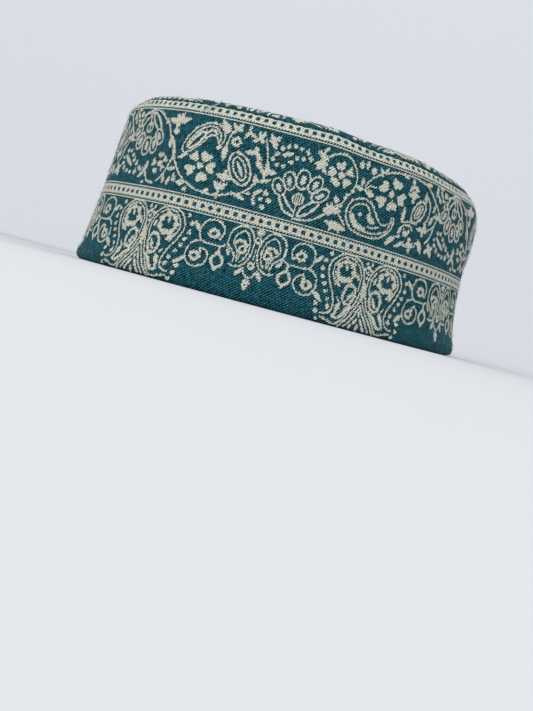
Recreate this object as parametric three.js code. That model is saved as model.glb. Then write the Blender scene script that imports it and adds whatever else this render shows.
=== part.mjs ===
// Kashmiri cap: a soft pillbox cap of jacquard woven wool, with an oval crown.
// Millimetres, +Z up. The cap rests on its rim at z = 0, its long axis along Y, its front at -Y.
// Each piece is cut as a flat ring or disc of cloth, then bent over the form of the cap.

import * as THREE from "three";

// Head oval at the rim, outside
const rimHalfLength = 100;
const rimHalfWidth = 90;
const frontNarrowing = 0.055;

// How far the wall leans in, in mm for each mm of height
const lengthTaper = 0.123;
const widthTaper = 0.039;

// Height of the crown's edge, and how much the crown swells at its middle
const crownHeight = 82;
const crownSwell = 2;

// The rounded shoulder between wall and crown is tight in front and soft at the back
const shoulderRadiusFront = 9.5;
const shoulderRadiusBack = 18;

// The flat pattern: distances over the cloth from the middle of the crown
const crownReach = 75;
const shoulderReach = 96;
const rimReach = 165;
const seamReach = (crownReach + shoulderReach) / 2;

// Layers, measured inwards from the outer face
const clothThickness = 2;
const hemThickness = 1.3;
const liningThickness = 1;
const gap = 0.3;
const liningDepth = clothThickness + gap;
const hemDepth = liningDepth + liningThickness + gap;
const hemHeight = 11;
const hemFootHeight = 4;
const liningStart = hemFootHeight + gap;
const rimRounding = 0.9;

const stepsRound = 64;
const stepsOverShoulder = 4;
const stepsUpWall = 4;
const stepsOverCrown = 4;

// The rolled rim stands proud of the wall: outward is in mm at each height
const rimRoll = [
  { height: 0, outward: 0 },
  { height: 1.5, outward: 0.7 },
  { height: 3.5, outward: 1.2 },
  { height: 6, outward: 1 },
  { height: 9, outward: 0.3 },
  { height: 13, outward: 0 },
];

// Soft dents and swells of the worn cloth. Angles run from the front towards +X.
const dents = [
  { angle: 0, height: 44, halfAngle: 10, halfHeight: 20, outward: -0.8 },
  { angle: 20, height: 46, halfAngle: 10, halfHeight: 34, outward: 0.9 },
  { angle: 44, height: 30, halfAngle: 16, halfHeight: 26, outward: -0.7 },
  { angle: 96, height: 58, halfAngle: 17, halfHeight: 24, outward: -0.8 },
  { angle: 128, height: 24, halfAngle: 14, halfHeight: 16, outward: -1.1 },
  { angle: 180, height: 46, halfAngle: 22, halfHeight: 28, outward: 0.6 },
  { angle: 236, height: 44, halfAngle: 18, halfHeight: 24, outward: -0.9 },
  { angle: 306, height: 52, halfAngle: 16, halfHeight: 26, outward: -0.6 },
];

const colours = {
  tealCloth: 0x17505a,
  brownLining: 0x3a2a26,
};

function between(low, high, share) {
  return low + (high - low) * share;
}

// Straight-line reading of a table with rising heights
function rimOutward(height) {
  for (let row = 1; row < rimRoll.length; row++) {
    const below = rimRoll[row - 1];
    const above = rimRoll[row];
    if (height <= above.height) {
      const share = (height - below.height) / (above.height - below.height);
      return between(below.outward, above.outward, share);
    }
  }
  return 0;
}

function dentOutward(degrees, height) {
  let outward = 0;
  for (const dent of dents) {
    const turn = ((degrees - dent.angle + 540) % 360) - 180;
    const across = turn / dent.halfAngle;
    const along = (height - dent.height) / dent.halfHeight;
    outward += dent.outward * Math.exp(-(across * across + along * along));
  }
  return outward;
}

// The point of the cap at an angle from the front, a reach over the cloth and a depth into it
function capPoint(angle, reach, depth) {
  const backShare = (1 - Math.cos(angle)) / 2;
  const radius = between(shoulderRadiusFront, shoulderRadiusBack, backShare);
  const wallHeight = crownHeight - radius;
  const wallShare = Math.min(1, (rimReach - reach) / (rimReach - shoulderReach));
  const wallZ = wallHeight * wallShare;
  const shoulderShare = THREE.MathUtils.clamp((shoulderReach - reach) / (shoulderReach - crownReach), 0, 1);
  const bend = (shoulderShare * Math.PI) / 2;
  const spread = Math.min(1, reach / crownReach);

  const fold = rimOutward(wallZ);
  const dent = dentOutward(THREE.MathUtils.radToDeg(angle), wallZ) * (1 - shoulderShare);
  const z = wallZ + (radius - depth) * Math.sin(bend) + crownSwell * (1 - spread * spread);
  const leanZ = Math.min(z, crownHeight);
  const inset = radius * (1 - Math.cos(bend)) + depth * Math.cos(bend) - fold - dent;
  const halfLength = (rimHalfLength - lengthTaper * leanZ - inset) * spread;
  const halfWidth = (rimHalfWidth - widthTaper * leanZ - inset) * spread;
  const narrowing = 1 - frontNarrowing * Math.cos(angle);
  return new THREE.Vector3(halfWidth * Math.sin(angle) * narrowing, -halfLength * Math.cos(angle), z);
}

// Turns a flat section of the cloth round the crown's middle and bends it over the form.
// A section lists its corners as reach and depth.
function bentCloth(section) {
  const outline = section.map(({ reach, depth }) => new THREE.Vector2(reach, -depth));
  const geometry = new THREE.LatheGeometry(outline, stepsRound);
  const places = geometry.attributes.position;
  for (let i = 0; i < places.count; i++) {
    const angle = Math.atan2(places.getX(i), places.getZ(i));
    const reach = Math.hypot(places.getX(i), places.getZ(i));
    const point = capPoint(angle, reach, -places.getY(i));
    places.setXYZ(i, point.x, point.y, point.z);
  }
  geometry.computeVertexNormals();
  return geometry;
}

// Reaches from one to another, both ends included
function reaches(from, to, steps) {
  const list = [];
  for (let step = 0; step <= steps; step++) {
    list.push(between(from, to, step / steps));
  }
  return list;
}

function atHeight(height) {
  return rimReach - (height * (rimReach - shoulderReach)) / (crownHeight - shoulderRadiusFront);
}

// The rows that every layer shares, from rim to middle, so that the layers stay parallel
const rollRows = rimRoll.map((row) => atHeight(row.height));
const wallRows = reaches(rollRows[rollRows.length - 1], shoulderReach, stepsUpWall).slice(1);
const shoulderRows = reaches(shoulderReach, crownReach, stepsOverShoulder).slice(1);
const crownRows = reaches(crownReach, 0, stepsOverCrown).slice(1);
const sharedRows = [...rollRows, ...wallRows, ...shoulderRows, ...crownRows];

// Part of the shared rows, with its own first and last reach
function rowsBetween(first, last) {
  const inner = sharedRows.filter((row) => row < first && row > last);
  return [first, ...inner, last];
}

function layer(reachList, depth) {
  return reachList.map((reach) => ({ reach, depth }));
}

function clothMesh(name, section, colour) {
  const material = new THREE.MeshStandardMaterial({ color: colour, roughness: 0.9, metalness: 0 });
  const mesh = new THREE.Mesh(bentCloth(section), material);
  mesh.name = name;
  return mesh;
}

// The wall, from the rounded rim up to the seam half way over the shoulder
function sideBand() {
  const face = rowsBetween(rimReach, seamReach);
  const section = [
    { reach: rimReach, depth: rimRounding },
    ...layer(face.slice(1), 0),
    ...layer(face.reverse(), clothThickness),
    { reach: rimReach, depth: rimRounding },
  ];
  return clothMesh("side_band", section, colours.tealCloth);
}

// The same cloth turned up inside the rim, with a foot where it folds
function turnedInHem() {
  const foot = rowsBetween(rimReach, atHeight(hemFootHeight));
  const strip = rowsBetween(atHeight(hemFootHeight), atHeight(hemHeight));
  const face = rowsBetween(rimReach, atHeight(hemHeight));
  const back = hemDepth + hemThickness;
  const section = [
    ...layer(foot, liningDepth),
    ...layer(strip, hemDepth),
    ...layer(face.slice(1).reverse(), back),
    { reach: rimReach, depth: back - rimRounding },
    { reach: rimReach, depth: liningDepth },
  ];
  return clothMesh("turned_in_hem", section, colours.tealCloth);
}

// The oval top panel, whose edge meets the wall at the seam
function crownTop() {
  const face = rowsBetween(seamReach - gap, 0);
  const section = [...layer(face, clothThickness).reverse(), ...layer(face, 0)];
  return clothMesh("crown_top", section, colours.tealCloth);
}

// One thin layer inside wall and crown, its lower edge held behind the hem
function lining() {
  const face = rowsBetween(atHeight(liningStart), 0);
  const back = liningDepth + liningThickness;
  const section = [...layer(face, back).reverse(), ...layer(face, liningDepth)];
  return clothMesh("lining", section, colours.brownLining);
}

const cap = new THREE.Group();
cap.add(sideBand(), turnedInHem(), crownTop(), lining());

export default cap;
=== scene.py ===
from collections import namedtuple

import bmesh
import bpy
import numpy as np
from mathutils import Matrix, Vector


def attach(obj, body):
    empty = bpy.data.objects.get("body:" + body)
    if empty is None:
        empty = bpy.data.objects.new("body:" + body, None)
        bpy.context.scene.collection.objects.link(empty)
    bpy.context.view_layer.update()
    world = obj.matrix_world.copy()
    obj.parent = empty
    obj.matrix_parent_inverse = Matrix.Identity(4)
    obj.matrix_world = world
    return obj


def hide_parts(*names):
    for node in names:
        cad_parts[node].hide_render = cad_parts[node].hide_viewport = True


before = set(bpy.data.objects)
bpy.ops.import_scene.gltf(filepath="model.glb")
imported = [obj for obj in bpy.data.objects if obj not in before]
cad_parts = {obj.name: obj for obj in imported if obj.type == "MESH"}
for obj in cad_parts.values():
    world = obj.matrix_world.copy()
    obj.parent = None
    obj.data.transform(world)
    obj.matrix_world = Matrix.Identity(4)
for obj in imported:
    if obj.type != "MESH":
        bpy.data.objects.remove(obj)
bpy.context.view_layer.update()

# The cap's form in millimetres, +Z up, the wearer's front at -Y. Oval, wall, rim and dents are the solids',
# but for the dent at 134 degrees, which is deeper here, and the bulge at 142 degrees above it. Edge waves,
# small unevenness and seams are in this script only
MM = 0.001
RIM_HALF_LENGTH = 100
RIM_HALF_WIDTH = 90
FRONT_NARROWING = 0.055
LENGTH_TAPER = 0.123
WIDTH_TAPER = 0.039
CROWN_HEIGHT = 82
CROWN_SWELL = 2
SHOULDER_FRONT = 9.5
SHOULDER_BACK = 18
CLOTH = 2
HEM_CLOTH = 1.3
LINING = 1
GAP = 0.3
LINING_DEPTH = CLOTH + GAP
HEM_DEPTH = LINING_DEPTH + LINING + GAP
HEM_INNER = HEM_DEPTH + HEM_CLOTH
HEM_HEIGHT = 11
HEM_FOOT = 4

# Reach is how far out a point of the flat cloth lies, from the crown's middle at 0 to the rim
CROWN_REACH = 75
SEAM_REACH = 85.5
SHOULDER_REACH = 96
MID_REACH = 128
RIM_REACH = 165
SEAM_BEND = np.pi / 4

# Soft roll of the rim: height, and how far the cloth stands out there
RIM_ROLL = [(0, 0), (1.5, 0.7), (3.5, 1.2), (6, 1), (9, 0.3), (13, 0)]

# Dents, and bulges where outward is above 0: turns are degrees from the front
Dent = namedtuple("Dent", "turn height half_turn half_height outward")
DENTS = [
    Dent(0, 44, 10, 20, -0.8),
    Dent(20, 46, 10, 34, 0.9),
    Dent(44, 30, 16, 26, -0.7),
    Dent(96, 58, 17, 24, -0.8),
    Dent(134, 29, 16, 19, -2.6),
    Dent(142, 62, 14, 14, 1.2),
    Dent(180, 46, 22, 28, 0.6),
    Dent(236, 44, 18, 24, -0.9),
    Dent(306, 52, 16, 26, -0.6),
]

# The edge of the crown lifts in low waves
EdgeWave = namedtuple("EdgeWave", "turn half_turn lift")
EDGE_WAVES = [EdgeWave(61, 7, 1.1), EdgeWave(-38, 12, 0.6), EdgeWave(150, 16, 0.8), EdgeWave(-120, 10, 0.5)]
EDGE_WAVE_REACH = 9

# Small unevenness of cloth from wear, as waves over the flat cloth: count, lengths and height
SOFT_WAVES = 26
SOFT_SHORTEST = 22
SOFT_LONGEST = 80
SOFT_HEIGHT = 0.544

# Seams: half width and depth of the groove, and the pucker along it
SEAM_HALF = 1.1
SEAM_DEPTH = 0.75
PUCKER_PITCH = 4.6
PUCKER_DEPTH = 0.16
PUCKER_REACH = 3.2

# Woven threads: one square of the chart is one thread each way. Rows of the wall are counted in millimetres
# of cloth from the rim up to the crown seam
THREAD = 0.46
CLOTH_PER_CHART = 1.02
SEAM_ROW = 80
RELIEF = 0.13
SUNK = 0.2

SEED = 7
RING_POINTS = 2881
TURN_ROUNDS = 8
TINY = 1e-6

draws = np.random.default_rng(SEED)
wave_length = draws.uniform(SOFT_SHORTEST, SOFT_LONGEST, SOFT_WAVES)
wave_turn = draws.uniform(0, 2 * np.pi, SOFT_WAVES)
wave_start = draws.uniform(0, 2 * np.pi, SOFT_WAVES)


def softness(angle, reach):
    """How far the cloth, uneven from wear, stands out of its even form."""
    x = reach * np.sin(angle)
    y = reach * np.cos(angle)
    height = 0
    for length, turn, start in zip(wave_length, wave_turn, wave_start):
        across = x * np.cos(turn) + y * np.sin(turn)
        height = height + np.sin(2 * np.pi * across / length + start) * length / SOFT_LONGEST
    return height * SOFT_HEIGHT / np.sqrt(SOFT_WAVES)


def apart(angle, turn):
    """Degrees from a turn, the short way round."""
    return (np.degrees(angle) - turn + 180) % 360 - 180


def hill(*distances):
    """1 in the middle, and soft slopes down to 0 on all sides."""
    return np.exp(-sum(distance * distance for distance in distances))


def shoulder_radius(angle):
    return SHOULDER_FRONT + (SHOULDER_BACK - SHOULDER_FRONT) * (1 - np.cos(angle)) / 2


def cap_point(angle, reach, depth, soft=True):
    """Where a point of the flat cloth lies on the cap, in millimetres. Soft cloth is uneven from wear."""
    angle, reach, depth = np.broadcast_arrays(*(np.asarray(v, float) for v in (angle, reach, depth)))
    radius = shoulder_radius(angle)
    wall_height = CROWN_HEIGHT - radius
    wall_z = wall_height * np.minimum(1, (RIM_REACH - reach) / (RIM_REACH - SHOULDER_REACH))
    shoulder = np.clip((SHOULDER_REACH - reach) / (SHOULDER_REACH - CROWN_REACH), 0, 1)
    bend = shoulder * np.pi / 2
    spread = np.minimum(1, reach / CROWN_REACH)
    roll = np.interp(wall_z, *zip(*RIM_ROLL))
    dent = sum(d.outward * hill(apart(angle, d.turn) / d.half_turn, (wall_z - d.height) / d.half_height)
               for d in DENTS)
    lift = 0
    if soft:
        standing = np.clip(wall_z / RIM_ROLL[-1][0], 0, 1)
        depth = depth - softness(angle, reach) * standing
        from_seam = (reach - SEAM_REACH) / EDGE_WAVE_REACH
        lift = sum(w.lift * hill(apart(angle, w.turn) / w.half_turn, from_seam) for w in EDGE_WAVES)
    z = wall_z + (radius - depth) * np.sin(bend) + CROWN_SWELL * (1 - spread * spread) + lift
    lean_z = np.minimum(z, CROWN_HEIGHT)
    inset = radius * (1 - np.cos(bend)) + depth * np.cos(bend) - roll - dent * (1 - shoulder)
    half_length = (RIM_HALF_LENGTH - LENGTH_TAPER * lean_z - inset) * spread
    half_width = (RIM_HALF_WIDTH - WIDTH_TAPER * lean_z - inset) * spread
    x = half_width * np.sin(angle) * (1 - FRONT_NARROWING * np.cos(angle))
    return np.stack([x, -half_length * np.cos(angle), z], -1)


# Length of thread round the wall half way up, against the turn from the front
ring_turns = np.linspace(-np.pi, np.pi, RING_POINTS)
ring = cap_point(ring_turns, MID_REACH, 0, soft=False)
ring_lengths = np.concatenate([[0], np.cumsum(np.linalg.norm(np.diff(ring, axis=0), axis=1))])
ROUND = ring_lengths[-1]
ring_lengths = ring_lengths - ROUND / 2


def turn_at(length):
    return np.interp(length, ring_lengths, ring_turns)


def length_at(angle):
    return np.interp(angle, ring_turns, ring_lengths)


def groove(distance):
    """Depth of a seam's groove, at a distance from its middle."""
    return SEAM_DEPTH * hill(distance / SEAM_HALF)


def pucker(length, from_seam):
    """Cloth drawn in by each stitch of the crown seam."""
    return PUCKER_DEPTH * np.cos(2 * np.pi * length / PUCKER_PITCH) * hill(from_seam / PUCKER_REACH)


def pressed(depth, into):
    """A groove presses the outside of the cloth in and leaves its inside where it is."""
    return depth + into * np.clip(1 - depth / CLOTH, 0, 1)


def wall_place(length, row, depth):
    """Length of thread from the front, row of cloth from the rim, and depth into the cloth, to a place."""
    angle = turn_at(length)
    radius = shoulder_radius(angle)
    wall_height = CROWN_HEIGHT - radius
    up = row * (wall_height + radius * SEAM_BEND) / SEAM_ROW
    over = np.maximum(up - wall_height, 0) / radius
    on_wall = RIM_REACH - (RIM_REACH - SHOULDER_REACH) * np.minimum(up / wall_height, 1)
    reach = on_wall - (SHOULDER_REACH - CROWN_REACH) * over / (np.pi / 2)
    standing = np.clip((row - HEM_FOOT) / HEM_FOOT, 0, 1)
    back_seam = groove(ROUND / 2 - np.abs(length)) * standing
    into = back_seam + groove(SEAM_ROW - row) + pucker(length, SEAM_ROW - row)
    return cap_point(angle, reach, pressed(depth, into))


def reach_place(angle, reach, depth):
    """The same for a place given by its turn from the front and its reach from the crown's middle."""
    radius = shoulder_radius(angle)
    from_seam = (reach - SEAM_REACH) / (SHOULDER_REACH - CROWN_REACH) * radius * np.pi / 2
    into = groove(from_seam) + pucker(length_at(angle), from_seam)
    return cap_point(angle, reach, pressed(depth, into))


def crown_place(x, y, depth):
    """A point of the crown's own flat cloth, x across and y towards the back, to a place and its reach."""
    angle = np.arctan2(x, -y)
    for _ in range(TURN_ROUNDS):
        edge = cap_point(angle, CROWN_REACH, 0, soft=False)
        angle = np.arctan2(x / np.hypot(edge[..., 0], TINY) * np.abs(np.sin(angle)),
                           -y / np.hypot(edge[..., 1], TINY) * np.abs(np.cos(angle)))
    edge = np.hypot(*np.moveaxis(cap_point(angle, CROWN_REACH, 0, soft=False)[..., :2], -1, 0))
    out = np.hypot(x, y)
    bend = np.maximum(out - edge, 0) / shoulder_radius(angle)
    reach = CROWN_REACH * np.minimum(out / edge, 1) + (SHOULDER_REACH - CROWN_REACH) * bend / (np.pi / 2)
    return reach_place(angle, reach, depth), reach


# The woven figures, charted in millimetres of flat cloth: s along the cloth, z up, tilts in degrees
LINE = 0.6
FINE = 0.54
SMOOTH_STEPS = 6
WINDOW_MARGIN = 1.5
SCALLOPS = 7
SCALLOP_DEPTH = 0.3

Line = namedtuple("Line", "width points")
Leaf = namedtuple("Leaf", "s z length width tilt")
Petal = namedtuple("Petal", "s z length width tilt")
Gap = namedtuple("Gap", "s z length width tilt")
Ring = namedtuple("Ring", "s z length width tilt line")
Dot = namedtuple("Dot", "s z radius")


def smooth(points):
    """A curve through the points, eased as a bent cane is."""
    p = np.array(points, float)
    if len(p) < 3:
        return p
    q = np.concatenate([2 * p[:1] - p[1:2], p, 2 * p[-1:] - p[-2:-1]])
    out = []
    for a, b, c, d in zip(q, q[1:], q[2:], q[3:]):
        for t in np.arange(SMOOTH_STEPS) / SMOOTH_STEPS:
            out.append(0.5 * (2 * b + (c - a) * t + (2 * a - 5 * b + 4 * c - d) * t * t
                              + (3 * b - a - 3 * c + d) * t ** 3))
    out.append(q[-2])
    return np.array(out)


class Chart:
    """Squared paper for one repeat of the cloth: True where the cream yarn shows."""

    def __init__(self, columns, rows):
        self.cells = np.zeros((rows, columns), bool)

    def window(self, low, high):
        """Row and column numbers over a box of the chart, and the middles of their squares."""
        first = [int((edge - WINDOW_MARGIN) / THREAD) - 1 for edge in low]
        last = [int((edge + WINDOW_MARGIN) / THREAD) + 2 for edge in high]
        c = np.arange(first[0], last[0])
        r = np.arange(first[1], last[1])
        r = r[(r >= 0) & (r < self.cells.shape[0])]
        s, z = np.meshgrid((c + 0.5) * THREAD, (r + 0.5) * THREAD)
        return r, c % self.cells.shape[1], s, z

    def mark(self, r, c, inside, on=True):
        rows, columns = np.meshgrid(r, c, indexing="ij")
        self.cells[rows[inside], columns[inside]] = on

    def line(self, row):
        p = smooth(row.points)
        r, c, s, z = self.window(p.min(0), p.max(0))
        near = np.full(s.shape, np.inf)
        for a, b in zip(p, p[1:]):
            d = b - a
            t = np.clip(((s - a[0]) * d[0] + (z - a[1]) * d[1]) / max(d @ d, TINY), 0, 1)
            near = np.minimum(near, np.hypot(s - a[0] - t * d[0], z - a[1] - t * d[1]))
        self.mark(r, c, near <= row.width / 2)

    def turned(self, row):
        """Squares round a tilted oval, measured along and across it from 0 in its middle to 1 at its edge."""
        reach = max(row.length, row.width) / 2
        r, c, s, z = self.window((row.s - reach, row.z - reach), (row.s + reach, row.z + reach))
        a = np.radians(row.tilt)
        along = (s - row.s) * np.cos(a) + (z - row.z) * np.sin(a)
        across = (z - row.z) * np.cos(a) - (s - row.s) * np.sin(a)
        return r, c, along * 2 / row.length, across * 2 / row.width

    def leaf(self, row):
        r, c, along, across = self.turned(row)
        self.mark(r, c, np.abs(across) <= 1 - along ** 2)

    def petal(self, row, on=True):
        r, c, along, across = self.turned(row)
        self.mark(r, c, along ** 2 + across ** 2 <= 1, on)

    def gap(self, row):
        self.petal(row, False)

    def dot(self, row):
        self.petal(Petal(row.s, row.z, 2 * row.radius, 2 * row.radius, 0))

    def ring(self, row):
        """An oval line. A broad one has scallops."""
        r, c, along, across = self.turned(row)
        both = row.line * 2
        inner_along = along * row.length / (row.length - both)
        inner_across = across * row.width / (row.width - both)
        inner = inner_along ** 2 + inner_across ** 2
        lobes = np.cos(SCALLOPS * np.arctan2(across, along)) * min(row.line - LINE, 1) * SCALLOP_DEPTH
        self.mark(r, c, (along ** 2 + across ** 2 <= 1 + lobes / 2) & (inner >= 1 - lobes))

    def draw(self, rows):
        """Each row is drawn by the method that has its kind's name."""
        for row in rows:
            getattr(self, type(row).__name__.lower())(row)


def mirrored(rows, axis):
    """The same figures seen in a mirror that stands across the cloth at s = axis."""
    out = []
    for row in rows:
        if isinstance(row, Line):
            out.append(Line(row.width, [(2 * axis - s, z) for s, z in row.points]))
            continue
        row = row._replace(s=2 * axis - row.s)
        out.append(row if isinstance(row, Dot) else row._replace(tilt=-row.tilt))
    return out


# A palmette hangs from the top of the upper zone at s = 0 and leans a little as it goes down
PALMETTE_AXIS = 82.6
HANG_TOP = 72.8
HANG_MIRROR = 55.4
HANG_LEAN = 0.2


def hung(rows):
    """Figures of the standing palmette, upside down, where one hangs."""
    def place(s, z):
        down = 2 * HANG_MIRROR - z
        return s - PALMETTE_AXIS + HANG_LEAN * (HANG_TOP - down), down
    out = []
    for row in rows:
        if isinstance(row, Line):
            out.append(Line(row.width, [place(*point) for point in row.points]))
            continue
        s, z = place(row.s, row.z)
        row = row._replace(s=s, z=z)
        out.append(row if isinstance(row, Dot) else row._replace(tilt=-row.tilt))
    return out


# A flower's petal is a body with two lobes beyond it, in shares of the petal's own reach, length and width
LOBE_SPREAD = 0.23
LOBE_REACH = 1.04
LOBE_LENGTH = 0.8
LOBE_WIDTH = 0.56
LOBE_TILT = 26
BODY_REACH = 0.9
BODY_LENGTH = 0.78
BODY_WIDTH = 0.62
LEAF_REACH = 0.42


def flower(s, z, centre, petals):
    """Round centre and lumpy petals: rows of turn from +s, reach, length, width."""
    out = [Dot(s, z, centre)]
    for turn, reach, length, width in petals:
        a = np.radians(turn)
        for side in (-1, 1):
            b = a + side * LOBE_SPREAD * width / reach
            lobe = LOBE_REACH * reach
            out.append(Petal(s + lobe * np.cos(b), z + lobe * np.sin(b), LOBE_LENGTH * length,
                             LOBE_WIDTH * width, turn + side * LOBE_TILT))
        body = BODY_REACH * reach
        out.append(Petal(s + body * np.cos(a), z + body * np.sin(a), BODY_LENGTH * length,
                         BODY_WIDTH * width, turn))
    return out


def spray(s, z, leaves):
    """Pointed leaves from one joint: rows of turn from +s, length, width."""
    out = []
    for turn, length, width in leaves:
        a = np.radians(turn)
        reach = LEAF_REACH * length
        out.append(Leaf(s + reach * np.cos(a), z + reach * np.sin(a), length, width, turn))
    return out


def dots(radius, *places):
    return [Dot(s, z, radius) for s, z in places]


# A large seed, and a petal of the palmette: widths of lines in millimetres, and shares of a length or width
SEED_LINE = 0.8
SEED_WIDTH = 0.62
SEED_BETWEEN = 4.4
SEED_INNER_WIDTH = 0.5
SEED_ROUND_LEAF = 3
SEED_LEAF = 1.3
LOOP_LINE = 0.68
LOOP_LOWER = 0.2
LOOP_LENGTH = 0.5
LOOP_WIDTH = 0.4


def seed_oval(s, z, tilt, length):
    """A large seed: two oval lines, one in the other, round a narrow leaf."""
    inner = length - SEED_BETWEEN
    return [
        Ring(s, z, length, SEED_WIDTH * length, tilt, SEED_LINE),
        Ring(s, z, inner, SEED_INNER_WIDTH * inner, tilt, LINE),
        Leaf(s, z, inner - SEED_ROUND_LEAF, SEED_LEAF, tilt),
    ]


def loop_petal(s, z, length, width, tilt):
    """A petal of the palmette: an oval line round a smaller full petal."""
    return [
        Ring(s, z, length, width, tilt, LOOP_LINE),
        Petal(s, z - LOOP_LOWER, LOOP_LENGTH * length, LOOP_WIDTH * width, tilt),
    ]


# Lower zone, drawn over half a repeat: the other half is its mirror picture
PAIR_AXIS = 23.1

BIG_PAISLEY = [
    Line(LINE, [(25.6, 26.8), (28, 29.6), (32, 31.2), (36, 30.8), (39.2, 28.6), (41.1, 25), (40.8, 21.4),
                (38.9, 17), (36.8, 13), (35.7, 9), (36.3, 6), (38.2, 4.7), (40.2, 4.3)]),
    Line(LINE, [(25.6, 26.8), (24.4, 23.6), (24.1, 20), (24.8, 15.4), (26.2, 11), (28.4, 7.4), (30.6, 3.8),
                (32.4, 1.5), (34.6, 1.2), (37, 2), (39.8, 2.6)]),
    Line(FINE, [(28.2, 27.8), (31.4, 29.8), (35.2, 29.6), (38, 27.2), (39.2, 24), (38.6, 20.8), (36.6, 17)]),
    Line(FINE, [(27.6, 27.2), (26, 24.2), (25.6, 20.8), (25.9, 17.4)]),
    Ring(33.4, 24, 9.6, 10.2, 0, 2),
    Petal(33.6, 20.4, 6.4, 2.6, 0),
    Leaf(33.5, 25.6, 3, 1.2, 80),
    Ring(29.5, 14.8, 6.6, 9.8, 8, 1.3),
    Petal(29.2, 18.8, 3.2, 2, 0),
    Leaf(29, 14, 5, 1.7, -64),
    Leaf(36.4, 18.6, 5, 2, 35),
    Leaf(27.3, 22.9, 3.4, 1.5, 70),
    Line(1.3, [(27.8, 9.8), (29.6, 8), (31.4, 5.2), (33, 3.9), (35, 4.2)]),
    Leaf(33.6, 8.4, 5.6, 2.2, 112),
    Line(1.1, [(34, 6.4), (34.8, 4.4)]),
    Line(FINE, [(34.6, 12.6), (33.6, 11)]),
]
BIG_PAISLEY_DOTS = [
    *dots(0.8, (41.4, 1.7)),
    *dots(0.9, (41.6, 29.4), (43.6, 26.2), (42.9, 19.4), (40.3, 13.6), (38.6, 10.7), (42.6, 4.6)),
    *dots(1, (43.8, 22.4), (41.8, 16.7), (38, 7.6), (43, 7.8)),
]
SCROLLS = [
    Line(LINE, [(57, 22.9), (57.9, 25.2), (57.5, 27.6), (55.8, 29.5), (53.2, 30.1), (50.4, 29.6),
                (48.6, 27.6), (48, 24.8), (48.5, 22.4), (50, 20.5), (53.4, 20), (57.4, 20), (60, 20.9)]),
    Ring(53.8, 24.7, 5, 4.6, -10, 1.5),
    Leaf(46.4, 25.9, 5.4, 2, -48),
    Line(FINE, [(55.8, 23.2), (57, 22.9)]),
    Line(LINE, [(45.6, 18), (47.6, 19.9), (50, 20.5)]),
    Line(LINE, [(45.3, 17), (44.8, 14), (45.7, 11.6), (47.2, 10), (49.8, 9.5), (52.4, 10.4), (54, 12.6),
                (54, 14.8), (53.2, 16.4), (51.4, 17.5), (50, 16.8)]),
    Ring(48.8, 13.8, 4.9, 4.7, 0, 1.55),
    Leaf(50.2, 15.6, 3, 1.4, 50),
    Leaf(43.2, 10.7, 6.2, 2.3, 40),
    Line(1.1, [(58, 19.6), (57.9, 17.4), (56.4, 15.4), (56, 13.4), (57.2, 11.7), (58.4, 11.2), (59.8, 11.8),
               (60.8, 13.4), (60.2, 15.4), (58, 17.2)]),
    Dot(58.4, 10.6, 0.9),
]
SMALL_PAISLEY = [
    Line(LINE, [(64.8, 15.6), (64.2, 18.2), (62.6, 20.2), (60.9, 21.6), (60.4, 24.2), (60.7, 27),
                (62.2, 29.4), (64.8, 30.8), (67.6, 30.5), (69.7, 28.4), (70.9, 25.2), (71.2, 22),
                (70.7, 18.8), (69.5, 16), (67.4, 14.1), (65.2, 13.7), (63.2, 14)]),
    Line(FINE, [(62.6, 24.6), (63.6, 27), (65.6, 28.8), (67.6, 27.8), (68.9, 25.8), (69.6, 22.6), (69.5, 20),
                (68.7, 17.6), (67.6, 16)]),
    Line(FINE, [(62.6, 24.6), (63, 22.6), (64.6, 21), (65.4, 19), (66, 16)]),
    Line(1.3, [(63.8, 23.4), (65.2, 24.6), (67, 24.4), (68.2, 23)]),
    Ring(67, 21.1, 3.6, 4, 0, 1),
    Line(FINE, [(66.4, 19), (66.6, 17)]),
    Leaf(61.6, 19, 4, 1.8, -60),
    Leaf(68.3, 12.2, 5.4, 2.4, 56),
]
SMALL_PAIR_MIDDLE = [
    Leaf(72.3, 30, 3.6, 3.4, 90),
    Ring(72.3, 26.3, 2.8, 2.8, 0, 0.7),
    Line(0.6, [(72.3, 22.4), (72.3, 21)]),
    Line(0.6, [(72.3, 20), (72.3, 18.4)]),
    Ring(72.3, 15.5, 3, 3.4, 0, 1),
    Line(FINE, [(69.8, 12.6), (71, 10.9), (72.3, 10.4), (73.6, 10.9), (74.8, 12.6)]),
    Petal(72.3, 8.1, 3.1, 3.6, 0),
    Dot(72.3, 6, 0.8),
    Gap(72.3, 7, 0.9, 0.9, 0),
]
BIG_PAIR_MIDDLE = [
    Leaf(23.1, 17.2, 9.4, 2.6, 90),
    Line(LINE, [(23.6, 14.4), (24.4, 11.6), (26.2, 8.2), (28.2, 5), (30.4, 2), (31.4, 0.8)]),
    Line(LINE, [(23.1, 11.4), (24.6, 7.8), (26.6, 4.4), (29, 1)]),
    Leaf(24.6, 4.4, 4.2, 1.2, -58), Leaf(23.1, 7.6, 2.6, 1.1, 90), Leaf(26.2, 1.9, 2.8, 1.1, -56),
    Leaf(23.1, 2, 3, 1.3, 90),
    Dot(23.1, 28.2, 0.9), Dot(21.6, 27, 0.7), Dot(24.6, 27, 0.7), Dot(23.1, 25.6, 0.9),
    Dot(21.8, 29.6, 0.6), Dot(24.4, 29.6, 0.6), Dot(23.1, 23.6, 0.6),
]

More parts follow.
